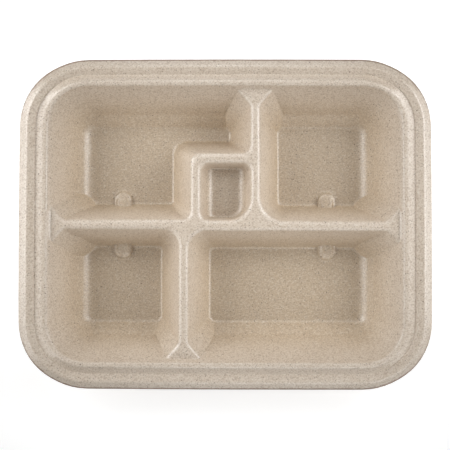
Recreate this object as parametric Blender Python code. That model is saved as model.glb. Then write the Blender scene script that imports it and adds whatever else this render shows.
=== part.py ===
"""Compartment food tray pressed from plant fibre, one thin sheet of even thickness.

Four large compartments and a small sauce cup are sunk in the sheet. Hollow dividers stand
between them and end in flared gussets at the outer walls. A raised ridge, a flat flange and
a turned-down lip run round the top. Sections are drawn on the upper face; the lower face has
the same sections moved by the sheet's thickness. Metres, +Z up, the floors rest on Z = 0.
"""

import math

import bmesh
import bpy
from mathutils import Vector

# Overall plan of the rim, measured over the lip.
LENGTH = 0.2712
WIDTH = 0.2186
LIP_CORNER = 0.0445

# The sheet, and the heights of its upper face.
SHEET = 0.0009
CREST_RISE = 0.0346
COAMING_RISE = 0.0050
BAND_RISE = 0.0085
CUP_DEPTH = 0.0165

# Rim section, from the outside in.
LIP_DROP = 0.0040
LIP_RUN = 0.0053
FLANGE_WIDTH = 0.0053
RIDGE_STEP = 0.0020
RIDGE_SLOPE_RUN = 0.0050
RIDGE_TOP_WIDTH = 0.0027
COAMING_RUN = 0.0023
LIP_ROUND = 0.0030
CREASE_ROUND = 0.0006
RIDGE_OUTER_ROUND = 0.0022
RIDGE_INNER_ROUND = 0.0012

# Outer walls below the crests: a steep wall, then a sloping band down to the floor.
END_WALL_RUN = 0.0125
SIDE_WALL_RUN = 0.0127
END_BAND_RUN = 0.0060
SIDE_BAND_RUN = 0.0085
BAND_TOP_CORNER = 0.0140
FLOOR_CORNER = 0.0045
BAND_TOP_ROUND = 0.0070
BAND_FOOT_ROUND = 0.0030

# Dividers: where they stand, and their width at crest and foot. The long one steps a little at the cup.
LONG_LEFT_Y = -0.0005
LONG_RIGHT_Y = -0.0014
UPPER_DIVIDER_X = 0.0203
LOWER_DIVIDER_X = -0.0272
LONG_CREST = 0.0058
LONG_FOOT = 0.0288
CROSS_CREST = 0.0055
CROSS_FOOT = 0.0326
CREST_ROUND = 0.0028
DIVIDER_FOOT_ROUND = 0.0012

# Flared ends of the dividers, and the toe that a gusset leaves on the floor.
FLARE_SPREAD = 0.0085
FLARE_LENGTH = 0.0090
GUSSET_TOE = 0.0027
FLARE_NECK_ROUND = 0.0045
FLARE_TIP_ROUND = 0.0014
GUSSET_TOE_ROUND = 0.0004

# Sauce cup: its mouth at crest level, how its walls lean and the short walls around it. Behind it
# lies an arm of the upper left compartment, with a short straight edge at the end of its floor.
CUP_MOUTH_WIDTH = 0.0338
CUP_SIDE_RUN = 0.0058
CUP_END_RUN = 0.0020
CUP_LEFT_WALL_CREST = 0.0060
CUP_LEFT_WALL_RUN = 0.0133
CUP_TOP_WALL_CREST = 0.0062
CUP_TOP_WALL_RUN = 0.0118
ARM_FLOOR_WIDTH = 0.0095
ARM_END_STRAIGHT = 0.0050
CUP_FOOT_ROUND = 0.0016

# Corner radii between dividers, at crest level and at floor level.
CUP_OUTER_CORNER = (0.0060, 0.0092)
CUP_LEFT_CORNER = (0.0058, 0.0035)
CUP_BACK_CREST_RADIUS = 0.0058
UPPER_RIGHT_CORNER = (0.0170, 0.0040)
LOWER_LEFT_CORNER = (0.0112, 0.0032)
LOWER_RIGHT_CORNER = (0.0125, 0.0032)
CUP_WIDE_CORNER = (0.0155, 0.0078)
CUP_LOW_CORNER = (0.0060, 0.0026)
CUP_TOP_CORNER = (0.0058, 0.0024)

# Share of the cup's shorter side that its wide corner may take.
WIDE_CORNER_LIMIT = 0.46

# Half-round lugs at the foot of the long divider, set out from the middle of the narrowest floor.
LUG_OFFSET = 0.0010
LUG_RISE = 0.0034
LUG_TOP_FALL = 0.0004
LUG_TOP_RADIUS = 0.0040
LUG_FOOT_RADIUS = 0.0060
LUG_TOP_REACH = 0.0070
LUG_FOOT_REACH = 0.0092

# Facets on each rounding.
CORNER_STEPS = 7
GUSSET_STEPS = 2
CREST_STEPS = 3
BAND_STEPS = 2
FOOT_STEPS = 1
RIM_STEPS = 2
LUG_STEPS = 6

# Largest gap at which a point still counts as lying on the outer wall.
TOUCH = 0.000002

# Heights and half sizes that follow from the sizes above.
FLOOR_Z = SHEET
BAND_Z = FLOOR_Z + BAND_RISE
CREST_Z = FLOOR_Z + CREST_RISE
RIDGE_Z = CREST_Z + COAMING_RISE
FLANGE_Z = RIDGE_Z - RIDGE_STEP
LUG_Z = FLOOR_Z + LUG_RISE
RIM_WIDTH = LIP_RUN + FLANGE_WIDTH + RIDGE_SLOPE_RUN + RIDGE_TOP_WIDTH + COAMING_RUN
WELL_CORNER = LIP_CORNER - RIM_WIDTH
CREST_HALF = Vector((LENGTH / 2 - RIM_WIDTH, WIDTH / 2 - RIM_WIDTH))
BAND_HALF = CREST_HALF - Vector((END_WALL_RUN, SIDE_WALL_RUN))
FLOOR_HALF = BAND_HALF - Vector((END_BAND_RUN, SIDE_BAND_RUN))
LUG_X = (FLOOR_HALF.x + CROSS_FOOT / 2 - LOWER_DIVIDER_X) / 2 + LUG_OFFSET
CUP_BACK_CORNER = (CUP_BACK_CREST_RADIUS, ARM_FLOOR_WIDTH - GUSSET_TOE - ARM_END_STRAIGHT)
CUP_LOW_Y = LONG_LEFT_Y + LONG_CREST / 2
CUP_LENGTH = FLOOR_HALF.y - ARM_FLOOR_WIDTH - CUP_TOP_WALL_RUN - CUP_TOP_WALL_CREST - CUP_LOW_Y

# Where the lug stands among the levels of a large compartment, counted from the crest.
LUG_LEVEL = CREST_STEPS + BAND_STEPS + 3

EAST = Vector((1, 0))
WEST = Vector((-1, 0))
NORTH = Vector((0, 1))
SOUTH = Vector((0, -1))


def left_of(direction):
    """Direction a quarter turn to the left."""
    return Vector((-direction.y, direction.x))


def fillet(corner, came, goes, radius, steps):
    """Points of the arc that turns a path from direction came to direction goes."""
    turn = math.atan2(came.cross(goes), came.dot(goes))
    start = corner - came * radius * math.tan(abs(turn) / 2)
    centre = start + left_of(came) * math.copysign(radius, turn)
    spoke = start - centre
    points = []
    for step in range(steps + 1):
        angle = turn * step / steps
        points.append(centre + spoke * math.cos(angle) + left_of(spoke) * math.sin(angle))
    return points


def travels(points):
    """Directions of a path's straight stretches."""
    return [(after - before).normalized() for before, after in zip(points, points[1:])]


def moved_left(points, depth):
    """Corners of a path after all its stretches move to the left by depth."""
    normals = [left_of(travel) for travel in travels(points)]
    moved = [points[0] + normals[0] * depth]
    for point, before, after in zip(points[1:], normals, normals[1:]):
        moved.append(point + (before + after) * depth / (1 + before.dot(after)))
    return moved + [points[-1] + normals[-1] * depth]


def rounded_bends(points, radii, steps, depth):
    """One arc for each inner corner of a path whose stretches move to the left by depth."""
    ways = travels(points)
    corners = moved_left(points, depth)[1:]
    arcs = []
    for corner, came, goes, radius, count in zip(corners, ways, ways[1:], radii, steps):
        hand = math.copysign(1, came.cross(goes))
        arcs.append(fillet(corner, came, goes, radius - hand * depth, count))
    return arcs


def at_heights(upper, lower, heights):
    """Points at given heights on the straight line through two section points."""
    slope = (upper.x - lower.x) / (upper.y - lower.y)
    return [Vector((lower.x + slope * (height - lower.y), height)) for height in heights]


def leaning_section(crest, foot, foot_z, foot_round, heights, depth):
    """Section of a divider side: crest rounding, straight side, foot rounding."""
    corners = [
        Vector((crest + CREST_ROUND, CREST_Z)),
        Vector((crest, CREST_Z)),
        Vector((foot, foot_z)),
        Vector((foot - foot_round, foot_z)),
    ]
    radii = (CREST_ROUND, foot_round)
    top, toe = rounded_bends(corners, radii, (CREST_STEPS, FOOT_STEPS), depth)
    return top + at_heights(top[-1], toe[0], heights) + toe


def outer_section(axis, depth):
    """Section of an outer wall: steep wall, rounded bend, sloping band, foot rounding."""
    corners = [
        Vector((CREST_HALF[axis], CREST_Z)),
        Vector((BAND_HALF[axis], BAND_Z)),
        Vector((FLOOR_HALF[axis], FLOOR_Z)),
        Vector((FLOOR_HALF[axis] - BAND_FOOT_ROUND, FLOOR_Z)),
    ]
    radii = (BAND_TOP_ROUND, BAND_FOOT_ROUND)
    bend, toe = rounded_bends(corners, radii, (BAND_STEPS, FOOT_STEPS), depth)
    wall = at_heights(moved_left(corners, depth)[0], bend[0], crest_heights(depth))
    band = at_heights(bend[-1], toe[0], lug_heights(depth))
    return wall + bend + band + toe


def crest_heights(depth):
    """Heights of the crest rounding, which the outer walls share so that levels match."""
    side_run = (CROSS_FOOT - CROSS_CREST) / 2
    section = leaning_section(0, -side_run, FLOOR_Z, DIVIDER_FOOT_ROUND, [], depth)
    return [point.y for point in section[:CREST_STEPS + 1]]


def lug_heights(depth):
    """Heights of a lug's top, where it leaves the divider and at its edge."""
    return [LUG_Z + LUG_TOP_FALL - depth, LUG_Z - depth]


def divider_section(crest, foot, depth):
    """Section of a divider side between two large compartments."""
    bend = outer_section(0, depth)[CREST_STEPS + 1:CREST_STEPS + BAND_STEPS + 2]
    heights = [point.y for point in bend] + lug_heights(depth)
    return leaning_section(crest, foot, FLOOR_Z, DIVIDER_FOOT_ROUND, heights, depth)


class Side:
    """One side of a compartment: the way it faces out, its section, and any lug on it."""

    def __init__(self, normal, section, lug_x=None):
        self.normal = normal
        self.travel = left_of(normal)
        self.section = section
        self.lug_x = lug_x


def wall(normal):
    """An outer wall."""
    axis = 0 if normal.x else 1
    return Side(normal, lambda depth: outer_section(axis, depth))


def divider(normal, crest, foot, lug_x=None):
    """A divider side, by its distances along normal at crest and foot."""
    return Side(normal, lambda depth: divider_section(crest, foot, depth), lug_x)


def gusset(wall_normal, divider_normal, crest, foot):
    """The flat that cuts across the corner of an outer wall and a divider."""
    axis = 0 if wall_normal.x else 1
    tip = wall_normal * CREST_HALF[axis] + divider_normal * (crest - FLARE_SPREAD)
    neck = wall_normal * (CREST_HALF[axis] - FLARE_LENGTH) + divider_normal * crest
    toe = wall_normal * (FLOOR_HALF[axis] - GUSSET_TOE) + divider_normal * foot
    normal = left_of(neck - tip).normalized()
    if normal.dot(wall_normal) < 0:
        normal = -normal
    return divider(normal, normal.dot(tip), normal.dot(toe))


def cup_wall(normal, crest, run):
    """A wall of the sauce cup, by its distance along normal at the mouth."""
    foot = crest - run
    floor_z = CREST_Z - CUP_DEPTH
    return Side(normal, lambda depth: leaning_section(crest, foot, floor_z, CUP_FOOT_ROUND, [], depth))


def plain_corner(radii, fall=CREST_RISE):
    """Corner with one radius at the crest and another at the floor, a fall below it."""
    return (lambda height: radii[0] + (radii[1] - radii[0]) * (CREST_Z - height) / fall, CORNER_STEPS)


def cup_wide_corner():
    """Radii of the cup's wide corner, kept within its walls at the mouth and at the floor."""
    mouth = min(CUP_MOUTH_WIDTH, CUP_LENGTH)
    floor = min(CUP_MOUTH_WIDTH - 2 * CUP_SIDE_RUN, CUP_LENGTH - 2 * CUP_END_RUN)
    crest_radius, floor_radius = CUP_WIDE_CORNER
    return (min(crest_radius, WIDE_CORNER_LIMIT * mouth), min(floor_radius, WIDE_CORNER_LIMIT * floor))


def gusset_corner(radius):
    """Edge of a gusset, which sharpens to its toe."""
    return (plain_corner((radius, GUSSET_TOE_ROUND))[0], GUSSET_STEPS)


def outer_radius(height):
    """Radius of a compartment's outer corner, which tightens quickly on the band."""
    if height > BAND_Z:
        share = (CREST_Z - height) / (CREST_Z - BAND_Z)
        return WELL_CORNER + (BAND_TOP_CORNER - WELL_CORNER) * share
    share = (BAND_Z - height) / BAND_RISE
    return BAND_TOP_CORNER + (FLOOR_CORNER - BAND_TOP_CORNER) * share


OUTER = (outer_radius, CORNER_STEPS)
TIP = gusset_corner(FLARE_TIP_ROUND)
NECK = gusset_corner(FLARE_NECK_ROUND)


def compartments():
    """Sides and corners of each compartment, in order round it, counterclockwise from above."""
    long_side = (-LONG_CREST / 2, -LONG_FOOT / 2)
    long_left_back = [distance - LONG_LEFT_Y for distance in long_side]
    long_left_front = [distance + LONG_LEFT_Y for distance in long_side]
    long_right_back = [distance - LONG_RIGHT_Y for distance in long_side]
    long_right_front = [distance + LONG_RIGHT_Y for distance in long_side]
    upper_left = (UPPER_DIVIDER_X - CROSS_CREST / 2, UPPER_DIVIDER_X - CROSS_FOOT / 2)
    upper_right = (-UPPER_DIVIDER_X - CROSS_CREST / 2, -UPPER_DIVIDER_X - CROSS_FOOT / 2)
    lower_left = (LOWER_DIVIDER_X - CROSS_CREST / 2, LOWER_DIVIDER_X - CROSS_FOOT / 2)
    lower_right = (-LOWER_DIVIDER_X - CROSS_CREST / 2, -LOWER_DIVIDER_X - CROSS_FOOT / 2)
    cup_top = CUP_LOW_Y + CUP_LENGTH
    cup_right = upper_left[0]
    cup_left = cup_right - CUP_MOUTH_WIDTH
    cup_left_back = cup_left - CUP_LEFT_WALL_CREST
    cup_top_back = -cup_top - CUP_TOP_WALL_CREST

    upper_left_compartment = [
        (divider(SOUTH, *long_left_back, lug_x=-LUG_X), plain_corner(CUP_LEFT_CORNER)),
        (divider(EAST, cup_left_back, cup_left_back - CUP_LEFT_WALL_RUN), plain_corner(CUP_OUTER_CORNER)),
        (divider(SOUTH, cup_top_back, cup_top_back - CUP_TOP_WALL_RUN), plain_corner(CUP_BACK_CORNER)),
        (divider(EAST, *upper_left), NECK),
        (gusset(NORTH, EAST, *upper_left), TIP),
        (wall(NORTH), OUTER),
        (wall(WEST), TIP),
        (gusset(WEST, SOUTH, *long_left_back), NECK),
    ]
    upper_right_compartment = [
        (divider(SOUTH, *long_right_back, lug_x=LUG_X), NECK),
        (gusset(EAST, SOUTH, *long_right_back), TIP),
        (wall(EAST), OUTER),
        (wall(NORTH), TIP),
        (gusset(NORTH, WEST, *upper_right), NECK),
        (divider(WEST, *upper_right), plain_corner(UPPER_RIGHT_CORNER)),
    ]
    lower_left_compartment = [
        (divider(NORTH, *long_left_front, lug_x=-LUG_X), NECK),
        (gusset(WEST, NORTH, *long_left_front), TIP),
        (wall(WEST), OUTER),
        (wall(SOUTH), TIP),
        (gusset(SOUTH, EAST, *lower_left), NECK),
        (divider(EAST, *lower_left), plain_corner(LOWER_LEFT_CORNER)),
    ]
    lower_right_compartment = [
        (divider(NORTH, *long_right_front, lug_x=LUG_X), plain_corner(LOWER_RIGHT_CORNER)),
        (divider(WEST, *lower_right), NECK),
        (gusset(SOUTH, WEST, *lower_right), TIP),
        (wall(SOUTH), OUTER),
        (wall(EAST), TIP),
        (gusset(EAST, NORTH, *long_right_front), NECK),
    ]
    sauce_cup = [
        (cup_wall(SOUTH, -CUP_LOW_Y, CUP_END_RUN), plain_corner(cup_wide_corner(), CUP_DEPTH)),
        (cup_wall(EAST, cup_right, CUP_SIDE_RUN), plain_corner(CUP_TOP_CORNER, CUP_DEPTH)),
        (cup_wall(NORTH, cup_top, CUP_END_RUN), plain_corner(CUP_TOP_CORNER, CUP_DEPTH)),
        (cup_wall(WEST, -cup_left, CUP_SIDE_RUN), plain_corner(CUP_LOW_CORNER, CUP_DEPTH)),
    ]
    return [
        upper_left_compartment,
        upper_right_compartment,
        lower_left_compartment,
        lower_right_compartment,
        sauce_cup,
    ]


def lug_outline(level, depth):
    """Outline of a lug at one level: distance along the divider, and out from it."""
    radius = (LUG_TOP_RADIUS if level <= LUG_LEVEL else LUG_FOOT_RADIUS) - depth
    if level < LUG_LEVEL:
        count = LUG_STEPS + 2
        return [(radius * (2 * step / count - 1), 0) for step in range(count + 1)]
    reach = LUG_TOP_REACH if level == LUG_LEVEL else LUG_FOOT_REACH
    outline = [(-radius, 0)]
    for step in range(LUG_STEPS + 1):
        angle = math.pi * step / LUG_STEPS
        outline.append((-radius * math.cos(angle), reach - radius + radius * math.sin(angle)))
    return outline + [(radius, 0)]


def lug_points(side, spot, level, depth):
    """Points of a divider side where its lug stands."""
    middle = side.travel * (side.travel.x * side.lug_x)
    points = []
    for along, out in lug_outline(level, depth):
        place = middle + side.travel * along + side.normal * (spot.x - out)
        points.append((place.x, place.y, spot.y))
    return points


def corner_points(side, spot, ahead, ahead_spot, corner, depth):
    """Rounded corner between a side and the next one, at one level of both sections."""
    radius_at, steps = corner
    bend = side.normal.cross(ahead.normal)
    meeting = (side.travel * (ahead_spot.x - spot.x * side.normal.dot(ahead.normal))) / bend
    meeting += side.normal * spot.x
    radius = radius_at((spot.y + ahead_spot.y) / 2) + math.copysign(depth, bend)
    points = []
    for step, place in enumerate(fillet(meeting, side.travel, ahead.travel, radius, steps)):
        height = spot.y + (ahead_spot.y - spot.y) * step / steps
        points.append((place.x, place.y, height))
    return points


def compartment_rings(outline, depth):
    """Rings of points down a compartment, from its mouth to the edge of its floor."""
    sides = [side for side, corner in outline]
    sections = [side.section(depth) for side in sides]
    rings = []
    for level in range(len(sections[0])):
        ring = []
        for index, (side, corner) in enumerate(outline):
            following = (index + 1) % len(outline)
            spot = sections[index][level]
            if side.lug_x is not None:
                ring.extend(lug_points(side, spot, level, depth))
            ahead_spot = sections[following][level]
            ring.extend(corner_points(side, spot, sides[following], ahead_spot, corner, depth))
        rings.append(ring)
    return rings


def extrude_to(bm, edges, places):
    """Extrude edges so that each old corner gets a new one at its place."""
    grown = bmesh.ops.extrude_edge_only(bm, edges=edges)["geom"]
    fresh = {item for item in grown if isinstance(item, bmesh.types.BMVert)}
    heirs = {}
    for vert, place in places.items():
        neighbours = [edge.other_vert(vert) for edge in vert.link_edges]
        heirs[vert] = next(other for other in neighbours if other in fresh)
        heirs[vert].co = place
    edges = [item for item in grown if isinstance(item, bmesh.types.BMEdge)]
    return [edge for edge in edges if fresh.issuperset(edge.verts)], heirs


def sink_compartment(bm, outline, depth):
    """Extrude a mouth down ring by ring and close it with the floor; returns the mouth."""
    rings = compartment_rings(outline, depth)
    mouth = [bm.verts.new(point) for point in rings[0]]
    edges = [bm.edges.new((mouth[index - 1], vert)) for index, vert in enumerate(mouth)]
    loop = mouth
    for ring in rings[1:]:
        edges, heirs = extrude_to(bm, edges, dict(zip(loop, ring)))
        loop = [heirs[vert] for vert in loop]
    bm.faces.new(loop)
    return mouth


class Well:
    """Outline of the outer walls at crest level, on one face of the sheet."""

    def __init__(self, depth):
        self.half = Vector((outer_section(0, depth)[0].x, outer_section(1, depth)[0].x))
        self.corner = outer_radius(CREST_Z - depth) + depth
        self.core = self.half - Vector((self.corner, self.corner))

    def spoke(self, spot):
        """Shortest way out to a point from the core that the corners turn about."""
        near_x = max(-self.core.x, min(self.core.x, spot.x))
        near_y = max(-self.core.y, min(self.core.y, spot.y))
        return Vector((spot.x - near_x, spot.y - near_y))

    def holds(self, vert):
        """Whether a crest-level corner lies on the outline."""
        return self.spoke(vert.co).length > self.corner - TOUCH


def fill_crests(bm, mouths, well):
    """Flat tops of the dividers, between the mouths and out to the walls."""
    edges = []
    tips = []
    for mouth in mouths:
        for index, vert in enumerate(mouth):
            ends = (mouth[index - 1], vert)
            on_wall = [end for end in ends if well.holds(end)]
            if len(on_wall) < 2:
                edges.append(bm.edges.get(ends))
                tips.extend(on_wall)
    while tips:
        tip = tips.pop()
        mate = min(tips, key=lambda other: (other.co - tip.co).length)
        tips.remove(mate)
        edges.append(bm.edges.new((tip, mate)))
    bmesh.ops.triangle_fill(bm, use_beauty=True, edges=edges, normal=(0, 0, 1))


def rim_section(depth):
    """Section of the rim above crest level: distance out from the crest line, and height."""
    ridge = COAMING_RUN + RIDGE_TOP_WIDTH
    crease = ridge + RIDGE_SLOPE_RUN
    shoulder = crease + FLANGE_WIDTH
    corners = [
        Vector((0, CREST_Z)),
        Vector((COAMING_RUN, RIDGE_Z)),
        Vector((ridge, RIDGE_Z)),
        Vector((crease, FLANGE_Z)),
        Vector((shoulder, FLANGE_Z)),
        Vector((shoulder + LIP_RUN, FLANGE_Z - LIP_DROP)),
    ]
    radii = (RIDGE_INNER_ROUND, RIDGE_OUTER_ROUND, CREASE_ROUND, LIP_ROUND)
    section = []
    for bend in rounded_bends(corners, radii, (RIM_STEPS,) * len(radii), -depth):
        section.extend(bend)
    return section + [moved_left(corners, -depth)[-1]]


def raise_rim(bm, edges, well, depth):
    """Carry the open edge up the wall, over ridge and flange, and down the lip."""
    corners = {vert for edge in edges for vert in edge.verts}
    outward = {vert: well.spoke(vert.co).normalized() for vert in corners}
    base = {vert: vert.co.xy - outward[vert] * (well.half.x - CREST_HALF.x) for vert in corners}
    current = {vert: vert for vert in corners}
    for run, height in rim_section(depth):
        places = {}
        for vert in corners:
            spot = base[vert] + outward[vert] * run
            places[current[vert]] = (spot.x, spot.y, height)
        edges, heirs = extrude_to(bm, edges, places)
        current = {vert: heirs[now] for vert, now in current.items()}
    return edges


def press_face(bm, depth):
    """One face of the sheet, at a depth below its upper face; returns the lip's edges."""
    well = Well(depth)
    mouths = [sink_compartment(bm, outline, depth) for outline in compartments()]
    fill_crests(bm, mouths, well)
    edges = {edge for mouth in mouths for vert in mouth for edge in vert.link_edges}
    return raise_rim(bm, [edge for edge in edges if edge.is_boundary], well, depth)


def pressed_fibre():
    """Matt, pale tan pressed fibre."""
    material = bpy.data.materials.new("pressed_fibre")
    material.use_nodes = True
    shader = material.node_tree.nodes["Principled BSDF"]
    shader.inputs["Base Color"].default_value = (0.56, 0.45, 0.33, 1)
    shader.inputs["Roughness"].default_value = 0.9
    shader.inputs["Metallic"].default_value = 0.0
    return material


def build_tray():
    """The whole sheet: its upper and lower faces, joined at the cut edge of the lip."""
    bm = bmesh.new()
    lip = press_face(bm, 0) + press_face(bm, SHEET)
    bmesh.ops.bridge_loops(bm, edges=lip)
    bmesh.ops.recalc_face_normals(bm, faces=bm.faces)
    mesh = bpy.data.meshes.new("tray")
    bm.to_mesh(mesh)
    bm.free()
    mesh.materials.append(pressed_fibre())
    tray = bpy.data.objects.new("tray", mesh)
    bpy.context.collection.objects.link(tray)
    return tray


for leftover in list(bpy.data.objects):
    bpy.data.objects.remove(leftover)
build_tray()
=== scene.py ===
"""Looks of a compartment food tray pressed from plant fibre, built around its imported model.

The tray is one moulded sheet, so the sections below follow the die: the mat, the dividers, lugs,
outer walls and gussets that are drawn in it, the sauce cup and the compartments that these enclose,
the rim, the pressed sheet as a whole, and then the finish of its fibre. Metres, +Z up.
"""

import math

import bmesh
import bpy
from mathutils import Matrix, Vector, noise


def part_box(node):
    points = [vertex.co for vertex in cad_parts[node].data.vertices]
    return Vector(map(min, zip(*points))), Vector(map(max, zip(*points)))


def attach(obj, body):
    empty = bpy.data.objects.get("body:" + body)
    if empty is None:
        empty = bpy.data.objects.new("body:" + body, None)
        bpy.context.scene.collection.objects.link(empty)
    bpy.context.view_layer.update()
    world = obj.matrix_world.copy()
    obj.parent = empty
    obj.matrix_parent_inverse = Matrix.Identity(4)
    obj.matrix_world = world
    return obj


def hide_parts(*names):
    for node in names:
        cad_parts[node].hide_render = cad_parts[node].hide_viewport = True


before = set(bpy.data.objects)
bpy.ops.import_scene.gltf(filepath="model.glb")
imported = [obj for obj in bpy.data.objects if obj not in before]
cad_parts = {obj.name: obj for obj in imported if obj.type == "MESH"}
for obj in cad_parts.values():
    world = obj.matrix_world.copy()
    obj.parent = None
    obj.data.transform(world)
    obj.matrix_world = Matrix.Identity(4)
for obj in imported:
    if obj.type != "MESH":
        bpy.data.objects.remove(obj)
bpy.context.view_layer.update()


# The mat. An even layer of wet cane and wood fibre, sucked onto a wire former and pressed hot
# between two dies. All of the tray is this one sheet: its lower face is its upper face moved by
# the sheet's thickness, so every section below is drawn once and asked for at a depth.
SHEET = 0.0009
tray_low, tray_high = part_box("tray")
FLOOR_Z = tray_low.z + SHEET


# The dividers. Hollow ridges of the same sheet, with leaning sides that let the tray leave its die.
# Their crests are flat with rounded edges, and their sides meet the floors in a tight fillet. Each
# side is drawn as a section: points from the crest down, given as distance out and height.
CREST_Z = 0.0355
CREST_ROUND = 0.0033
DIVIDER_FOOT_ROUND = 0.0024
CREST_STEPS = 6
ARC_ENDS = 1
FOOT_LEVELS = (0.0022, 0.0016, 0.0011, 0.0007, 0.0004, 0.0002, 0.00005)
LONG_CREST = 0.0058
LONG_FOOT = 0.0288
CROSS_CREST = 0.0055
CROSS_FOOT = 0.0326
LONG_LEFT_Y = -0.0005
LONG_RIGHT_Y = -0.0014
UPPER_DIVIDER_X = 0.0203
LOWER_DIVIDER_X = -0.0272


def left_of(direction):
    """Direction a quarter turn to the left."""
    return Vector((-direction.y, direction.x))


def fillet(corner, came, goes, radius, steps):
    """Points of the arc that turns a path from direction came to direction goes."""
    turn = math.atan2(came.cross(goes), came.dot(goes))
    start = corner - came * radius * math.tan(abs(turn) / 2)
    centre = start + left_of(came) * math.copysign(radius, turn)
    spoke = start - centre
    angles = [turn * step / steps for step in range(steps + 1)]
    return [centre + spoke * math.cos(angle) + left_of(spoke) * math.sin(angle) for angle in angles]


def travels(points):
    """Directions of a path's straight stretches."""
    return [(after - before).normalized() for before, after in zip(points, points[1:])]


def moved_left(points, depth):
    """Corners of a path after all its stretches move to the left by depth."""
    normals = [left_of(travel) for travel in travels(points)]
    moved = [points[0] + normals[0] * depth]
    for point, before, after in zip(points[1:], normals, normals[1:]):
        moved.append(point + (before + after) * depth / (1 + before.dot(after)))
    return moved + [points[-1] + normals[-1] * depth]


def rounded_bends(points, radii, steps, depth):
    """One arc for each inner corner of a path whose stretches move to the left by depth."""
    ways = travels(points)
    corners = moved_left(points, depth)[1:]
    arcs = []
    for corner, came, goes, radius, count in zip(corners, ways, ways[1:], radii, steps):
        hand = math.copysign(1, came.cross(goes))
        arcs.append(fillet(corner, came, goes, radius - hand * depth, count))
    return arcs


def at_heights(upper, lower, heights):
    """Points at given heights on the straight line through two section points."""
    slope = (upper.x - lower.x) / (upper.y - lower.y)
    return [Vector((lower.x + slope * (height - lower.y), height)) for height in heights]


def down_to_floor(upper, toe, radius, heights):
    """Points at given heights down a leaning side and the fillet at its toe, then the toe's end."""
    centre = toe[-1] + Vector((0, radius))
    points = []
    for height in heights:
        if height > toe[0].y:
            points.extend(at_heights(upper, toe[0], [height]))
        else:
            out = centre.x + math.sqrt(radius ** 2 - (centre.y - height) ** 2)
            points.append(Vector((out, height)))
    return points + [toe[-1]]


def foot_heights(floor_z, depth):
    """Heights close above a floor, at which every side that ends on it has a point."""
    return [floor_z - depth + level for level in FOOT_LEVELS]


def leaning_section(crest, foot, foot_z, foot_round, heights, depth):
    """Section of a divider side: crest rounding, straight side, foot rounding at the foot levels."""
    corners = [
        Vector((crest + CREST_ROUND, CREST_Z)),
        Vector((crest, CREST_Z)),
        Vector((foot, foot_z)),
        Vector((foot - foot_round, foot_z)),
    ]
    top, toe = rounded_bends(corners, (CREST_ROUND, foot_round), (CREST_STEPS, ARC_ENDS), depth)
    levels = heights + foot_heights(foot_z, depth)
    return top + down_to_floor(top[-1], toe, foot_round + depth, levels)


def crest_heights(depth):
    """Heights of the crest rounding, which the outer walls share so that their levels match."""
    side_run = (CROSS_FOOT - CROSS_CREST) / 2
    section = leaning_section(0, -side_run, FLOOR_Z, DIVIDER_FOOT_ROUND, [], depth)
    return [point.y for point in section[:CREST_STEPS + 1]]


# The lugs. Four half-round bumps at the foot of the long divider, with soft upper edges. They are
# pressed with the sheet, and keep stacked trays from jamming. The edges round a lug's top are given
# as radius, reach from the divider and fall below the top; its root lies on the divider's side.
LUG_RISE = 0.0034
LUG_FOOT_RADIUS = 0.0060
LUG_FOOT_REACH = 0.0092
LUG_ROOT_FALL = -0.0005
LUG_EDGES = ((0.0034, 0.0063, 0.0), (0.0040, 0.0070, 0.00025), (0.0043, 0.0074, 0.0008))
LUG_STEPS = 14
LUG_OFFSET = 0.0010
LUG_Z = FLOOR_Z + LUG_RISE


def lug_heights(depth):
    """Heights of a lug's root on the divider and of the edges round its top."""
    falls = [LUG_ROOT_FALL] + [fall for radius, reach, fall in LUG_EDGES]
    return [LUG_Z - fall - depth for fall in falls]


def lug_outline(level, depth):
    """Outline of a lug at one level of its divider: distance along the divider, and out from it."""
    edge = level - LUG_LEVEL
    if edge < 0:
        radius = LUG_EDGES[0][0] - depth
        count = LUG_STEPS + 2
        return [(radius * (2 * step / count - 1), 0) for step in range(count + 1)]
    radius, reach = LUG_EDGES[edge][:2] if edge < len(LUG_EDGES) else (LUG_FOOT_RADIUS, LUG_FOOT_REACH)
    radius -= depth
    outline = [(-radius, 0)]
    for step in range(LUG_STEPS + 1):
        angle = math.pi * step / LUG_STEPS
        outline.append((-radius * math.cos(angle), reach - radius + radius * math.sin(angle)))
    return outline + [(radius, 0)]


def lug_points(side, spot, level, depth):
    """Points of a divider side where its lug stands."""
    middle = side.travel * (side.travel.x * side.lug_x)
    points = []
    for along, out in lug_outline(level, depth):
        place = middle + side.travel * along + side.normal * (spot.x - out)
        points.append((place.x, place.y, spot.y))
    return points


# The outer walls. The same sheet, drawn down from the rim: a steep wall bends softly into a sloping
# band that runs to the floor, and the corners tighten on the way. A size of the walls, gussets or rim
# that has two values gives the one at the tray's ends first, and then the one along its sides.
RIM_WIDTH = 0.0206
LIP_CORNER = 0.0445
WALL_RUN = (0.0125, 0.0127)
BAND_RUN = (0.0060, 0.0085)
BAND_RISE = 0.0085
BAND_TOP_CORNER = 0.0140
FLOOR_CORNER = 0.0045
BAND_TOP_ROUND = 0.0120
BAND_FOOT_ROUND = (0.0115, 0.0040)
BAND_STEPS = 5
BAND_Z = FLOOR_Z + BAND_RISE
WELL_CORNER = LIP_CORNER - RIM_WIDTH
RIM_HALF = (tray_high - tray_low).xy / 2
CREST_HALF = RIM_HALF - Vector((RIM_WIDTH, RIM_WIDTH))
BAND_HALF = CREST_HALF - Vector(WALL_RUN)
FLOOR_HALF = BAND_HALF - Vector(BAND_RUN)
LUG_X = (FLOOR_HALF.x + CROSS_FOOT / 2 - LOWER_DIVIDER_X) / 2 + LUG_OFFSET
BEND_LEVEL = CREST_STEPS + 1
LUG_ROOT_LEVEL = BEND_LEVEL + BAND_STEPS + 1
LUG_LEVEL = LUG_ROOT_LEVEL + 1


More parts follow.
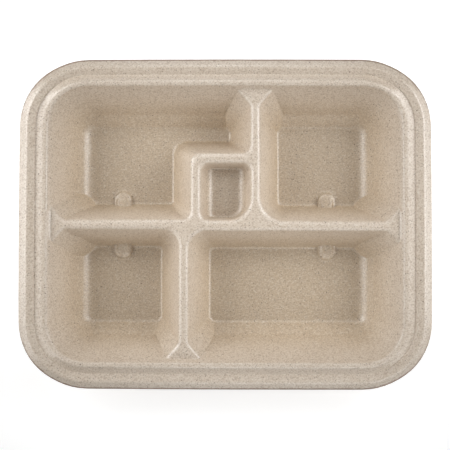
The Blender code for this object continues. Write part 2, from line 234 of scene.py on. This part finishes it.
def outer_section(axis, depth):
    """Section of an outer wall: steep wall, rounded bend, sloping band, foot rounding."""
    corners = [
        Vector((CREST_HALF[axis], CREST_Z)),
        Vector((BAND_HALF[axis], BAND_Z)),
        Vector((FLOOR_HALF[axis], FLOOR_Z)),
        Vector((FLOOR_HALF[axis] - BAND_FOOT_ROUND[axis], FLOOR_Z)),
    ]
    radii = (BAND_TOP_ROUND, BAND_FOOT_ROUND[axis])
    bend, toe = rounded_bends(corners, radii, (BAND_STEPS, ARC_ENDS), depth)
    wall_top = at_heights(moved_left(corners, depth)[0], bend[0], crest_heights(depth))
    levels = lug_heights(depth) + foot_heights(FLOOR_Z, depth)
    return wall_top + bend + down_to_floor(bend[-1], toe, BAND_FOOT_ROUND[axis] + depth, levels)


def outer_radius(height):
    """Radius of a compartment's outer corner, which tightens quickly on the band."""
    if height > BAND_Z:
        share = (CREST_Z - height) / (CREST_Z - BAND_Z)
        return WELL_CORNER + (BAND_TOP_CORNER - WELL_CORNER) * share
    share = (BAND_Z - height) / BAND_RISE
    return BAND_TOP_CORNER + (FLOOR_CORNER - BAND_TOP_CORNER) * share


def divider_section(crest, foot, depth):
    """Section of a divider side, with a point at each height that the outer walls have."""
    bend = outer_section(0, depth)[BEND_LEVEL:LUG_ROOT_LEVEL]
    heights = [point.y for point in bend] + lug_heights(depth)
    return leaning_section(crest, foot, FLOOR_Z, DIVIDER_FOOT_ROUND, heights, depth)


class Side:
    """One side of a compartment: the way it faces out, its section, and any lug on it."""

    def __init__(self, normal, section, lug_x=None):
        self.normal = normal
        self.travel = left_of(normal)
        self.section = section
        self.lug_x = lug_x


def axis_of(wall_normal):
    """Which of two values belongs to an outer wall: 0 at the tray's ends, 1 along its sides."""
    return 0 if wall_normal.x else 1


def wall(normal):
    """An outer wall."""
    return Side(normal, lambda depth: outer_section(axis_of(normal), depth))


def divider(normal, crest, foot, lug_x=None):
    """A divider side, by its distances along normal at crest and foot."""
    return Side(normal, lambda depth: divider_section(crest, foot, depth), lug_x)


# The gussets. Where a divider runs into an outer wall, the sheet flares into a flat that cuts across
# the corner, wide at the crest and closing to a small toe on the floor.
FLARE_SPREAD = 0.0085
FLARE_LENGTH = (0.0074, 0.0094)
GUSSET_TOE = (0.0070, 0.0030)
FLARE_NECK_ROUND = 0.0045
FLARE_TIP_ROUND = 0.0014
GUSSET_TOE_ROUND = 0.0004
GUSSET_STEPS = 5
CORNER_STEPS = 14


def gusset(wall_normal, divider_normal, crest, foot):
    """The flat that cuts across the corner of an outer wall and a divider."""
    axis = axis_of(wall_normal)
    tip = wall_normal * CREST_HALF[axis] + divider_normal * (crest - FLARE_SPREAD)
    neck = wall_normal * (CREST_HALF[axis] - FLARE_LENGTH[axis]) + divider_normal * crest
    toe = wall_normal * (FLOOR_HALF[axis] - GUSSET_TOE[axis]) + divider_normal * foot
    normal = left_of(neck - tip).normalized()
    if normal.dot(wall_normal) < 0:
        normal = -normal
    return divider(normal, normal.dot(tip), normal.dot(toe))


def plain_corner(radii, fall=CREST_Z - FLOOR_Z):
    """Corner with one radius at the crest and another at the floor, a fall below it."""
    return (lambda height: radii[0] + (radii[1] - radii[0]) * (CREST_Z - height) / fall, CORNER_STEPS)


def gusset_corner(radius):
    """Edge of a gusset, which sharpens to its toe."""
    return (plain_corner((radius, GUSSET_TOE_ROUND))[0], GUSSET_STEPS)


OUTER = (outer_radius, CORNER_STEPS)
TIP = gusset_corner(FLARE_TIP_ROUND)
NECK = gusset_corner(FLARE_NECK_ROUND)


# The sauce cup. A small steep well pressed into the crossing of the dividers, with a floor well
# above the others and one wide corner. An arm of the upper left compartment runs behind it. Corner
# radii are given at the mouth and at the floor.
CUP_DEPTH = 0.0165
CUP_MOUTH_WIDTH = 0.0338
CUP_SIDE_RUN = 0.0046
CUP_END_RUN = 0.0020
CUP_LEFT_WALL_CREST = 0.0060
CUP_LEFT_WALL_RUN = 0.0133
CUP_TOP_WALL_CREST = 0.0062
CUP_TOP_WALL_RUN = 0.0118
ARM_FLOOR_WIDTH = 0.0095
CUP_SIDE_ROUND = 0.0062
CUP_END_ROUND = 0.0012
CUP_LEVELS = (0.0048, 0.0040, 0.0032, 0.0027)
CUP_WIDE_CORNER = (0.0155, 0.0078)
CUP_LOW_CORNER = (0.0060, 0.0026)
CUP_TOP_CORNER = (0.0058, 0.0024)
CUP_LOW_Y = LONG_LEFT_Y + LONG_CREST / 2
CUP_TOP_Y = FLOOR_HALF.y - ARM_FLOOR_WIDTH - CUP_TOP_WALL_RUN - CUP_TOP_WALL_CREST
CUP_RIGHT_X = UPPER_DIVIDER_X - CROSS_CREST / 2
CUP_LEFT_X = CUP_RIGHT_X - CUP_MOUTH_WIDTH

EAST = Vector((1, 0))
WEST = Vector((-1, 0))
NORTH = Vector((0, 1))
SOUTH = Vector((0, -1))


def cup_section(crest, foot, foot_round, depth):
    """Section of a wall of the sauce cup."""
    floor_z = CREST_Z - CUP_DEPTH
    heights = [floor_z - depth + level for level in CUP_LEVELS]
    return leaning_section(crest, foot, floor_z, foot_round, heights, depth)


def cup_wall(normal, crest, run, foot_round):
    """A wall of the sauce cup, by its distance along normal at the mouth."""
    return Side(normal, lambda depth: cup_section(crest, crest - run, foot_round, depth))


sauce_cup = [
    (cup_wall(SOUTH, -CUP_LOW_Y, CUP_END_RUN, CUP_END_ROUND), plain_corner(CUP_WIDE_CORNER, CUP_DEPTH)),
    (cup_wall(EAST, CUP_RIGHT_X, CUP_SIDE_RUN, CUP_SIDE_ROUND), plain_corner(CUP_TOP_CORNER, CUP_DEPTH)),
    (cup_wall(NORTH, CUP_TOP_Y, CUP_END_RUN, CUP_END_ROUND), plain_corner(CUP_TOP_CORNER, CUP_DEPTH)),
    (cup_wall(WEST, -CUP_LEFT_X, CUP_SIDE_RUN, CUP_SIDE_ROUND), plain_corner(CUP_LOW_CORNER, CUP_DEPTH)),
]


# The four large compartments. Wells for the food, drawn deep between the dividers and the outer
# walls. Each is a ring of sides, with the corner that follows each side, in order round it. Corner
# radii are given at the crest and at the floor.
CUP_OUTER_CORNER = (0.0060, 0.0092)
CUP_LEFT_CORNER = (0.0058, 0.0035)
CUP_BACK_CORNER = (0.0058, 0.0018)
UPPER_RIGHT_CORNER = (0.0170, 0.0040)
LOWER_LEFT_CORNER = (0.0112, 0.0032)
LOWER_RIGHT_CORNER = (0.0125, 0.0032)


def divider_side(middle, crest_width, foot_width):
    """Distances of a divider side at crest and foot, from the distance of the divider's middle."""
    return (middle - crest_width / 2, middle - foot_width / 2)


long_left_back = divider_side(-LONG_LEFT_Y, LONG_CREST, LONG_FOOT)
long_left_front = divider_side(LONG_LEFT_Y, LONG_CREST, LONG_FOOT)
long_right_back = divider_side(-LONG_RIGHT_Y, LONG_CREST, LONG_FOOT)
long_right_front = divider_side(LONG_RIGHT_Y, LONG_CREST, LONG_FOOT)
upper_left = divider_side(UPPER_DIVIDER_X, CROSS_CREST, CROSS_FOOT)
upper_right = divider_side(-UPPER_DIVIDER_X, CROSS_CREST, CROSS_FOOT)
lower_left = divider_side(LOWER_DIVIDER_X, CROSS_CREST, CROSS_FOOT)
lower_right = divider_side(-LOWER_DIVIDER_X, CROSS_CREST, CROSS_FOOT)
cup_left_back = CUP_LEFT_X - CUP_LEFT_WALL_CREST
cup_top_back = -CUP_TOP_Y - CUP_TOP_WALL_CREST

upper_left_compartment = [
    (divider(SOUTH, *long_left_back, lug_x=-LUG_X), plain_corner(CUP_LEFT_CORNER)),
    (divider(EAST, cup_left_back, cup_left_back - CUP_LEFT_WALL_RUN), plain_corner(CUP_OUTER_CORNER)),
    (divider(SOUTH, cup_top_back, cup_top_back - CUP_TOP_WALL_RUN), plain_corner(CUP_BACK_CORNER)),
    (divider(EAST, *upper_left), NECK),
    (gusset(NORTH, EAST, *upper_left), TIP),
    (wall(NORTH), OUTER),
    (wall(WEST), TIP),
    (gusset(WEST, SOUTH, *long_left_back), NECK),
]
upper_right_compartment = [
    (divider(SOUTH, *long_right_back, lug_x=LUG_X), NECK),
    (gusset(EAST, SOUTH, *long_right_back), TIP),
    (wall(EAST), OUTER),
    (wall(NORTH), TIP),
    (gusset(NORTH, WEST, *upper_right), NECK),
    (divider(WEST, *upper_right), plain_corner(UPPER_RIGHT_CORNER)),
]
lower_left_compartment = [
    (divider(NORTH, *long_left_front, lug_x=-LUG_X), NECK),
    (gusset(WEST, NORTH, *long_left_front), TIP),
    (wall(WEST), OUTER),
    (wall(SOUTH), TIP),
    (gusset(SOUTH, EAST, *lower_left), NECK),
    (divider(EAST, *lower_left), plain_corner(LOWER_LEFT_CORNER)),
]
lower_right_compartment = [
    (divider(NORTH, *long_right_front, lug_x=LUG_X), plain_corner(LOWER_RIGHT_CORNER)),
    (divider(WEST, *lower_right), NECK),
    (gusset(SOUTH, WEST, *lower_right), TIP),
    (wall(SOUTH), OUTER),
    (wall(EAST), TIP),
    (gusset(EAST, NORTH, *long_right_front), NECK),
]
compartments = [
    upper_left_compartment,
    upper_right_compartment,
    lower_left_compartment,
    lower_right_compartment,
    sauce_cup,
]


def corner_points(side, spot, ahead, ahead_spot, corner, depth):
    """Rounded corner between a side and the next one, at one level of both sections."""
    radius_at, steps = corner
    bend = side.normal.cross(ahead.normal)
    meeting = (side.travel * (ahead_spot.x - spot.x * side.normal.dot(ahead.normal))) / bend
    meeting += side.normal * spot.x
    radius = radius_at((spot.y + ahead_spot.y) / 2) + math.copysign(depth, bend)
    points = []
    for step, place in enumerate(fillet(meeting, side.travel, ahead.travel, radius, steps)):
        height = spot.y + (ahead_spot.y - spot.y) * step / steps
        points.append((place.x, place.y, height))
    return points


def compartment_rings(outline, depth):
    """Rings of points down a compartment, from its mouth to the edge of its floor."""
    sides = [side for side, corner in outline]
    sections = [side.section(depth) for side in sides]
    rings = []
    for level in range(len(sections[0])):
        ring = []
        for index, (side, corner) in enumerate(outline):
            following = (index + 1) % len(outline)
            spot = sections[index][level]
            if side.lug_x is not None:
                ring.extend(lug_points(side, spot, level, depth))
            ahead_spot = sections[following][level]
            ring.extend(corner_points(side, spot, sides[following], ahead_spot, corner, depth))
        rings.append(ring)
    return rings


def extrude_to(bm, edges, places):
    """Extrude edges so that each old corner gets a new one at its place."""
    grown = bmesh.ops.extrude_edge_only(bm, edges=edges)["geom"]
    fresh = {item for item in grown if isinstance(item, bmesh.types.BMVert)}
    heirs = {}
    for vert, place in places.items():
        neighbours = [edge.other_vert(vert) for edge in vert.link_edges]
        heirs[vert] = next(other for other in neighbours if other in fresh)
        heirs[vert].co = place
    edges = [item for item in grown if isinstance(item, bmesh.types.BMEdge)]
    return [edge for edge in edges if fresh.issuperset(edge.verts)], heirs


def sink_compartment(bm, outline, depth):
    """Extrude a mouth down ring by ring and close it with the floor; returns the mouth."""
    rings = compartment_rings(outline, depth)
    mouth = [bm.verts.new(point) for point in rings[0]]
    edges = [bm.edges.new((mouth[index - 1], vert)) for index, vert in enumerate(mouth)]
    loop = mouth
    for ring in rings[1:]:
        edges, heirs = extrude_to(bm, edges, dict(zip(loop, ring)))
        loop = [heirs[vert] for vert in loop]
    bm.faces.new(loop)
    return mouth


# The rim. Above the crests the wall leans out to a ridge. A flange surrounds it, dips towards it and
# turns down at its outer edge into a lip that the die trims. Along the tray's sides the flange lies
# below the ridge, and at its ends it stands a little above, with a groove between the two.
COAMING_RUN = 0.0023
RIDGE_TOP_WIDTH = 0.0027
RIDGE_SLOPE_RUN = 0.0050
RIDGE_DROP = (0.0015, 0.0)
FLANGE_DROP = (0.0001, 0.0030)
FLANGE_WIDTH = 0.0053
FLANGE_DIP = (0.0008, 0.0016)
GROOVE_DEPTH = (0.0012, 0.00015)
GROOVE_WALL_RUN = 0.0003
LIP_RUN = 0.0053
LIP_DROP = (0.0032, 0.0046)
RIDGE_INNER_ROUND = 0.0020
RIDGE_OUTER_ROUND = 0.0022
GROOVE_ROUND = 0.00025
GROOVE_EDGE_ROUND = 0.00035
LIP_ROUND = 0.0030
RIM_STEPS = 5
END_FADE = (0.35, 0.95)
# The cut edge of the lip: its width, and its darkening at the ends as a share of that along the sides.
# The edge is toasted, and painted shade makes it darker along the sides than at the ends.
TOAST_AND_SHADE_WIDTH = 0.0021
TOAST_AND_SHADE_AT_ENDS = 0.15
TOUCH = 0.000002
RIDGE_Z = tray_high.z


class Well:
    """Outline of the outer walls at crest level, on one face of the sheet."""

    def __init__(self, depth):
        self.half = Vector((outer_section(0, depth)[0].x, outer_section(1, depth)[0].x))
        self.corner = outer_radius(CREST_Z - depth) + depth
        self.core = self.half - Vector((self.corner, self.corner))

    def spoke(self, spot):
        """Shortest way out to a point from the core that the corners turn about."""
        near_x = max(-self.core.x, min(self.core.x, spot.x))
        near_y = max(-self.core.y, min(self.core.y, spot.y))
        return Vector((spot.x - near_x, spot.y - near_y))

    def holds(self, vert):
        """Whether a crest-level corner lies on the outline."""
        return self.spoke(vert.co).length > self.corner - TOUCH


def fill_crests(bm, mouths, well):
    """Flat tops of the dividers, between the mouths and out to the walls."""
    edges = []
    tips = []
    for mouth in mouths:
        for index, vert in enumerate(mouth):
            ends = (mouth[index - 1], vert)
            on_wall = [end for end in ends if well.holds(end)]
            if len(on_wall) < 2:
                edges.append(bm.edges.get(ends))
                tips.extend(on_wall)
    while tips:
        tip = tips.pop()
        mate = min(tips, key=lambda other: (other.co - tip.co).length)
        tips.remove(mate)
        edges.append(bm.edges.new((tip, mate)))
    bmesh.ops.triangle_fill(bm, use_beauty=True, edges=edges, normal=(0, 0, 1))


def end_share(outward):
    """How far a part of the rim that faces outward belongs to the tray's ends, eased over the fade."""
    share = (abs(outward.x) - END_FADE[0]) / (END_FADE[1] - END_FADE[0])
    share = max(0, min(1, share))
    return share * share * (3 - 2 * share)


def along_rim(size, share):
    """A size of the rim between its value at the tray's ends and its value along the sides."""
    at_ends, at_sides = size
    return at_sides + (at_ends - at_sides) * share


def rim_section(depth, share):
    """Section of the rim above crest level. Only the upper face has the groove's sharp outer edge."""
    ridge_z = RIDGE_Z - along_rim(RIDGE_DROP, share)
    flange_z = RIDGE_Z - along_rim(FLANGE_DROP, share)
    inner_z = flange_z - along_rim(FLANGE_DIP, share)
    ridge = COAMING_RUN + RIDGE_TOP_WIDTH
    crease = ridge + RIDGE_SLOPE_RUN
    shoulder = crease + FLANGE_WIDTH
    bends = [
        (Vector((COAMING_RUN, ridge_z)), RIDGE_INNER_ROUND),
        (Vector((ridge, ridge_z)), RIDGE_OUTER_ROUND),
        (Vector((crease, inner_z - along_rim(GROOVE_DEPTH, share))), GROOVE_ROUND),
    ]
    if depth == 0:
        bends.append((Vector((crease + GROOVE_WALL_RUN, inner_z)), GROOVE_EDGE_ROUND))
    bends.append((Vector((shoulder, flange_z)), LIP_ROUND))
    crest = Vector((0, CREST_Z))
    lip_end = Vector((shoulder + LIP_RUN, flange_z - along_rim(LIP_DROP, share)))
    corners = [crest] + [corner for corner, radius in bends] + [lip_end]
    radii = [radius for corner, radius in bends]
    section = []
    for arc in rounded_bends(corners, radii, [RIM_STEPS] * len(radii), -depth):
        section.extend(arc)
    end = moved_left(corners, -depth)[-1]
    return section + [end - travels(corners)[-1] * TOAST_AND_SHADE_WIDTH, end]


def raise_rim(bm, edges, well, depth):
    """Carry the open edge up the wall, over ridge and flange, and down the lip."""
    toast_and_shade = bm.verts.layers.float["toast_and_shade"]
    corners = list(dict.fromkeys(vert for edge in edges for vert in edge.verts))
    outward = {vert: well.spoke(vert.co).normalized() for vert in corners}
    base = {vert: vert.co.xy - outward[vert] * (well.half.x - CREST_HALF.x) for vert in corners}
    sections = {vert: rim_section(depth, end_share(outward[vert])) for vert in corners}
    current = {vert: vert for vert in corners}
    for level in range(len(sections[corners[0]])):
        places = {}
        for vert in corners:
            run, height = sections[vert][level]
            spot = base[vert] + outward[vert] * run
            places[current[vert]] = (spot.x, spot.y, height)
        edges, heirs = extrude_to(bm, edges, places)
        current = {vert: heirs[now] for vert, now in current.items()}
    # The cut edge is toasted, and painted shade makes it darker along the tray's sides than at its ends.
    for vert, end in current.items():
        end[toast_and_shade] = TOAST_AND_SHADE_AT_ENDS + (1 - TOAST_AND_SHADE_AT_ENDS) * abs(outward[vert].y)
    return edges


def press_face(bm, depth):
    """One face of the sheet, at a depth below its upper face; returns the lip's edges."""
    well = Well(depth)
    mouths = [sink_compartment(bm, outline, depth) for outline in compartments]
    fill_crests(bm, mouths, well)
    edges = dict.fromkeys(edge for mouth in mouths for vert in mouth for edge in vert.link_edges)
    return raise_rim(bm, [edge for edge in edges if edge.is_boundary], well, depth)


# The pressed sheet. Both faces joined at the cut edge of the lip, then divided finely enough for
# the unevenness that a fibre sheet keeps when it dries: bowed sides, a wavy rim, soft lumps. Waves
# and lumps only sink the surface, so the tray stays in the space of its die.
CELL = 0.0040
CELL_SNAP = 0.00015
BOW = 0.005
WAVE_SIZE = 0.060
WAVE_HEIGHT = 0.00025
LUMP_SIZE = 0.011
LUMP_HEIGHT = 0.00006
SHARP_ANGLE = 50

sheet = bmesh.new()
sheet.verts.layers.float.new("toast_and_shade")
lip = press_face(sheet, 0) + press_face(sheet, SHEET)
bmesh.ops.bridge_loops(sheet, edges=lip)
bmesh.ops.remove_doubles(sheet, verts=sheet.verts, dist=TOUCH)
bmesh.ops.recalc_face_normals(sheet, faces=sheet.faces)

for axis in range(3):
    normal = Vector((0, 0, 0))
    normal[axis] = 1
    place = tray_low[axis] + CELL / 2
    while place < tray_high[axis]:
        cut = normal * place
        everything = sheet.verts[:] + sheet.edges[:] + sheet.faces[:]
        bmesh.ops.bisect_plane(sheet, geom=everything, dist=CELL_SNAP, plane_co=cut, plane_no=normal)
        place += CELL

sheet.normal_update()
for vert in sheet.verts:
    x, y, z = vert.co
    lump = noise.noise(vert.co / LUMP_SIZE) * LUMP_HEIGHT
    wave = (noise.noise(Vector((x, y, 0)) / WAVE_SIZE) - 1) * WAVE_HEIGHT * (z / RIDGE_Z) ** 2
    vert.co.x *= 1 - BOW * (y / RIM_HALF.y) ** 2
    vert.co.y *= 1 - BOW * (x / RIM_HALF.x) ** 2
    vert.co.z += wave
    vert.co += vert.normal * (lump - LUMP_HEIGHT)

tray_mesh = bpy.data.meshes.new("moulded_tray")
sheet.to_mesh(tray_mesh)
sheet.free()
tray_mesh.shade_smooth()
tray_mesh.set_sharp_from_angle(angle=math.radians(SHARP_ANGLE))
moulded_tray = bpy.data.objects.new("moulded_tray", tray_mesh)
bpy.context.scene.collection.objects.link(moulded_tray)
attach(moulded_tray, "root")
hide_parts("tray")


# The finish. Unbleached cane and wood fibre: pale beige at the rim and crests, with painted shade that
# makes it darker and browner towards the floors. Short fibres, bark specks, a satin skin, and a toasted
# cut edge with painted shade, darker along the tray's sides than at its ends. Speck sets are given as
# spacing, radius, shift and strength; strands as length and width.
BEIGE = (0.622, 0.523, 0.422, 1)
# Painted shade: the darker, browner beige of the floors, down in the deep compartments.
SHADED_FLOOR_BEIGE = (0.550, 0.428, 0.287, 1)
PALE_FIBRE = (0.72, 0.65, 0.555, 1)
DARK_FIBRE = (0.43, 0.33, 0.235, 1)
BARK = (0.16, 0.095, 0.05, 1)
# Dark brown of the toasted cut edge, which also carries painted shade.
TOAST_AND_SHADE_BROWN = (0.20, 0.115, 0.06, 1)
PALE_Z = 0.036
CLOUD_SIZE = 0.020
CLOT_SIZE = 0.0035
CLOT_MIDDLE = 0.5
CLOT_RANGE = (0.3, 0.7)
GRAIN_SIZE = 0.0010
PALE_STRAND = (0.0040, 0.00045)
PALE_STRAND_TURN = (0.3, 0.2, 0.4)
DARK_STRAND = (0.0035, 0.00040)
DARK_STRAND_TURN = (1.1, 0.5, 2.0)
BARK_SPECKS = ((0.0021, 0.00040, 0.0, 0.75), (0.0062, 0.00055, 0.013, 0.92))
SPECK_CORE = 0.6
# Raggedness, range and strength of the toasted cut edge and its painted shade.
TOAST_AND_SHADE_RAGGED = 0.8
TOAST_AND_SHADE_RANGE = (0.05, 0.60)
TOAST_AND_SHADE_STRENGTH = 0.92
SKIN_ROUGHNESS = (0.38, 0.46)
SKIN_SPECULAR = 1.0
SKIN_IOR = 1.7
GRAIN_RELIEF = 0.6
STRAND_RELIEF = 0.5
RELIEF_STRENGTH = 0.35
RELIEF_DEPTH = 0.00018

fibre = bpy.data.materials.new("pressed_fibre")
fibre.use_nodes = True
fibre_nodes = fibre.node_tree.nodes
fibre_links = fibre.node_tree.links
skin = fibre_nodes["Principled BSDF"]
object_place = fibre_nodes.new("ShaderNodeTexCoord").outputs["Object"]


def join(value, socket):
    """Link an output to a socket, or set the socket to a plain value."""
    if isinstance(value, bpy.types.NodeSocket):
        fibre_links.new(value, socket)
    else:
        socket.default_value = value


def clouds(size, detail, place=object_place):
    """Soft noise with blobs of about the given size."""
    texture = fibre_nodes.new("ShaderNodeTexNoise")
    texture.inputs["Scale"].default_value = 1 / size
    texture.inputs["Detail"].default_value = detail
    join(place, texture.inputs["Vector"])
    return texture.outputs["Fac"]


def spread(value, low, high, to_low=0.0, to_high=1.0):
    """Part of a value's range, eased and stretched to another range."""
    ranger = fibre_nodes.new("ShaderNodeMapRange")
    ranger.interpolation_type = "SMOOTHSTEP"
    join(value, ranger.inputs["Value"])
    for name, number in (("From Min", low), ("From Max", high), ("To Min", to_low), ("To Max", to_high)):
        ranger.inputs[name].default_value = number
    return ranger.outputs["Result"]


def combined(operation, one, other):
    """Two values put together by a sum or a product."""
    sum_or_product = fibre_nodes.new("ShaderNodeMath")
    sum_or_product.operation = operation
    join(one, sum_or_product.inputs[0])
    join(other, sum_or_product.inputs[1])
    return sum_or_product.outputs["Value"]


def times(one, other):
    """Product of two values."""
    return combined("MULTIPLY", one, other)


def plus(one, other):
    """Sum of two values."""
    return combined("ADD", one, other)


def tinted(colour, tint, amount):
    """A colour drawn towards a tint by an amount."""
    mixer = fibre_nodes.new("ShaderNodeMix")
    mixer.data_type = "RGBA"
    sockets = {socket.identifier: socket for socket in mixer.inputs}
    join(amount, sockets["Factor_Float"])
    join(colour, sockets["A_Color"])
    join(tint, sockets["B_Color"])
    return next(socket for socket in mixer.outputs if socket.identifier == "Result_Color")


def strands(length, width, turn):
    """Noise drawn out into short strands that lie at a turn to the tray's length."""
    drawn_out = fibre_nodes.new("ShaderNodeMapping")
    drawn_out.vector_type = "TEXTURE"
    drawn_out.inputs["Rotation"].default_value = turn
    drawn_out.inputs["Scale"].default_value = (length / width, 1, 1)
    join(object_place, drawn_out.inputs["Vector"])
    return clouds(width, 1.0, drawn_out.outputs["Vector"])


def specks(spacing, radius, shift):
    """Small round spots: 1 inside, 0 outside."""
    shifted = fibre_nodes.new("ShaderNodeMapping")
    shifted.inputs["Location"].default_value = (shift, shift, shift)
    join(object_place, shifted.inputs["Vector"])
    cells = fibre_nodes.new("ShaderNodeTexVoronoi")
    cells.inputs["Scale"].default_value = 1 / spacing
    join(shifted.outputs["Vector"], cells.inputs["Vector"])
    return spread(cells.outputs["Distance"], SPECK_CORE * radius / spacing, radius / spacing, 1.0, 0.0)


cloud = clouds(CLOUD_SIZE, detail=2.0)
clot = clouds(CLOT_SIZE, detail=3.0)
grain = clouds(GRAIN_SIZE, detail=1.0)
pale_strands = strands(*PALE_STRAND, PALE_STRAND_TURN)
dark_strands = strands(*DARK_STRAND, DARK_STRAND_TURN)

# Layers of fibre over the beige: tint, pattern, where in the pattern's range the tint starts and is
# full, and its strength there.
fibre_layers = (
    (DARK_FIBRE, cloud, 0.35, 0.70, 0.12),
    (DARK_FIBRE, clot, 0.50, 0.75, 0.15),
    (PALE_FIBRE, grain, 0.50, 0.70, 0.58),
    (DARK_FIBRE, grain, 0.50, 0.30, 0.85),
    (PALE_FIBRE, pale_strands, 0.58, 0.72, 0.80),
    (DARK_FIBRE, dark_strands, 0.60, 0.74, 0.55),
)
split = fibre_nodes.new("ShaderNodeSeparateXYZ")
join(object_place, split.inputs["Vector"])
# Painted shade: the beige turns darker and browner with depth below PALE_Z, towards the floors of the
# deep compartments.
colour = tinted(BEIGE, SHADED_FLOOR_BEIGE, spread(split.outputs["Z"], 0.0, PALE_Z, 1.0, 0.0))
for tint, pattern, starts, full, strength in fibre_layers:
    colour = tinted(colour, tint, spread(pattern, starts, full, 0.0, strength))
for spacing, radius, shift, strength in BARK_SPECKS:
    colour = tinted(colour, BARK, times(specks(spacing, radius, shift), strength))
# The cut edge: toasted, with painted shade that darkens it more along the tray's sides than at its ends,
# made ragged by the clot pattern.
edge_toast_and_shade = fibre_nodes.new("ShaderNodeAttribute")
edge_toast_and_shade.attribute_name = "toast_and_shade"
ragged_toast_and_shade = plus(edge_toast_and_shade.outputs["Fac"], times(plus(clot, -CLOT_MIDDLE), TOAST_AND_SHADE_RAGGED))
colour = tinted(colour, TOAST_AND_SHADE_BROWN, spread(ragged_toast_and_shade, *TOAST_AND_SHADE_RANGE, 0.0, TOAST_AND_SHADE_STRENGTH))
join(colour, skin.inputs["Base Color"])
join(spread(clot, *CLOT_RANGE, *SKIN_ROUGHNESS), skin.inputs["Roughness"])
skin.inputs["Specular IOR Level"].default_value = SKIN_SPECULAR
skin.inputs["IOR"].default_value = SKIN_IOR

strand_height = plus(times(pale_strands, STRAND_RELIEF), times(dark_strands, STRAND_RELIEF))
relief = fibre_nodes.new("ShaderNodeBump")
relief.inputs["Strength"].default_value = RELIEF_STRENGTH
relief.inputs["Distance"].default_value = RELIEF_DEPTH
join(plus(times(grain, GRAIN_RELIEF), strand_height), relief.inputs["Height"])
join(relief.outputs["Normal"], skin.inputs["Normal"])
tray_mesh.materials.append(fibre)


# The table. A plain sheet of white paper under the tray. It takes the soft shadow, and it reads white
# to the camera and in reflections without lighting the tray any more than paper would.
TABLE_REACH = 30
TABLE_GLOW = 0.46
PAPER_WHITE = (0.86, 0.86, 0.86, 1)
PAPER_ROUGHNESS = 0.9

table_mesh = bpy.data.meshes.new("table")
paper_sheet = bmesh.new()
bmesh.ops.create_grid(paper_sheet, x_segments=1, y_segments=1, size=TABLE_REACH)
paper_sheet.to_mesh(table_mesh)
paper_sheet.free()
table = bpy.data.objects.new("table", table_mesh)
bpy.context.scene.collection.objects.link(table)

paper = bpy.data.materials.new("white_paper")
paper.use_nodes = True
paper_nodes = paper.node_tree.nodes
paper_links = paper.node_tree.links
paper_skin = paper_nodes["Principled BSDF"]
paper_skin.inputs["Base Color"].default_value = PAPER_WHITE
paper_skin.inputs["Roughness"].default_value = PAPER_ROUGHNESS
paper_skin.inputs["Emission Color"].default_value = (TABLE_GLOW, TABLE_GLOW, TABLE_GLOW, 1)
ray = paper_nodes.new("ShaderNodeLightPath")
seen = ray.outputs["Is Camera Ray"]
for name in ("Is Glossy Ray", "Is Transmission Ray"):
    either = paper_nodes.new("ShaderNodeMath")
    either.operation = "MAXIMUM"
    paper_links.new(seen, either.inputs[0])
    paper_links.new(ray.outputs[name], either.inputs[1])
    seen = either.outputs["Value"]
paper_links.new(seen, paper_skin.inputs["Emission Strength"])
table_mesh.materials.append(paper)


# The light. Gridded softboxes stand in a ring close round the table, at each place one low and one
# higher. They are strongest past the back corners. The ring gives each place's turn in degrees, and
# the powers of its low and high box in watts. Two more boxes hang over the back and the front.
SOFTBOX_DISTANCE = 0.55
SOFTBOX_SIZE = 0.22
SOFTBOX_GRID = 65
LOW_RISE = 22
HIGH_RISE = 40
RING = {
    0: (0.059, 0.080),
    30: (0.036, 0.124),
    90: (0.054, 0.029),
    150: (0.096, 0.101),
    180: (0.062, 0.055),
    210: (0.044, 0.025),
    270: (0.036, 0.024),
    300: (0.037, 0.030),
    330: (0.024, 0.009),
}
TOP_RISE = 60
BACK_TURN = 90
FRONT_TURN = 270
TOP_BACK_POWER = 0.034
TOP_FRONT_POWER = 0.020
ROOM_LIGHT = 0.03


def softbox(name, turn, rise, power):
    """A square soft light that faces the tray, by its turn round the tray and rise above it."""
    lamp = bpy.data.lights.new(name, "AREA")
    lamp.shape = "SQUARE"
    lamp.size = SOFTBOX_SIZE
    lamp.spread = math.radians(SOFTBOX_GRID)
    lamp.energy = power
    box = bpy.data.objects.new(name, lamp)
    flat = math.cos(math.radians(rise))
    away = Vector((flat * math.cos(math.radians(turn)), flat * math.sin(math.radians(turn)), 0))
    away.z = math.sin(math.radians(rise))
    box.location = away * SOFTBOX_DISTANCE
    box.rotation_euler = away.to_track_quat("Z", "Y").to_euler()
    bpy.context.scene.collection.objects.link(box)


for turn, (low, high) in RING.items():
    softbox(f"low_softbox_{turn}", turn, LOW_RISE, low)
    softbox(f"high_softbox_{turn}", turn, HIGH_RISE, high)
softbox("top_back_softbox", BACK_TURN, TOP_RISE, TOP_BACK_POWER)
softbox("top_front_softbox", FRONT_TURN, TOP_RISE, TOP_FRONT_POWER)

world = bpy.data.worlds.new("studio")
world.use_nodes = True
room = world.node_tree.nodes["Background"]
room.inputs["Color"].default_value = (1, 1, 1, 1)
room.inputs["Strength"].default_value = ROOM_LIGHT
bpy.context.scene.world = world


# The camera. It hangs over the tray, a little in front of its middle, and looks almost straight down.
# Lens and sensor are in millimetres, and the turns about X, Y and Z in degrees.
SENSOR_WIDTH = 36
LENS = 64.95
CAMERA_SHIFT = (0.0228, -0.0166)
CAMERA_PLACE = (0, -0.010, 0.570)
CAMERA_TURNS = (1.5, 0.7, 0.10)

camera_data = bpy.data.cameras.new("camera")
camera_data.sensor_width = SENSOR_WIDTH
camera_data.lens = LENS
camera_data.shift_x, camera_data.shift_y = CAMERA_SHIFT
camera = bpy.data.objects.new("camera", camera_data)
camera.location = CAMERA_PLACE
camera.rotation_euler = [math.radians(turn) for turn in CAMERA_TURNS]
bpy.context.scene.collection.objects.link(camera)
bpy.context.scene.camera = camera
bpy.context.scene.view_settings.view_transform = "Standard"
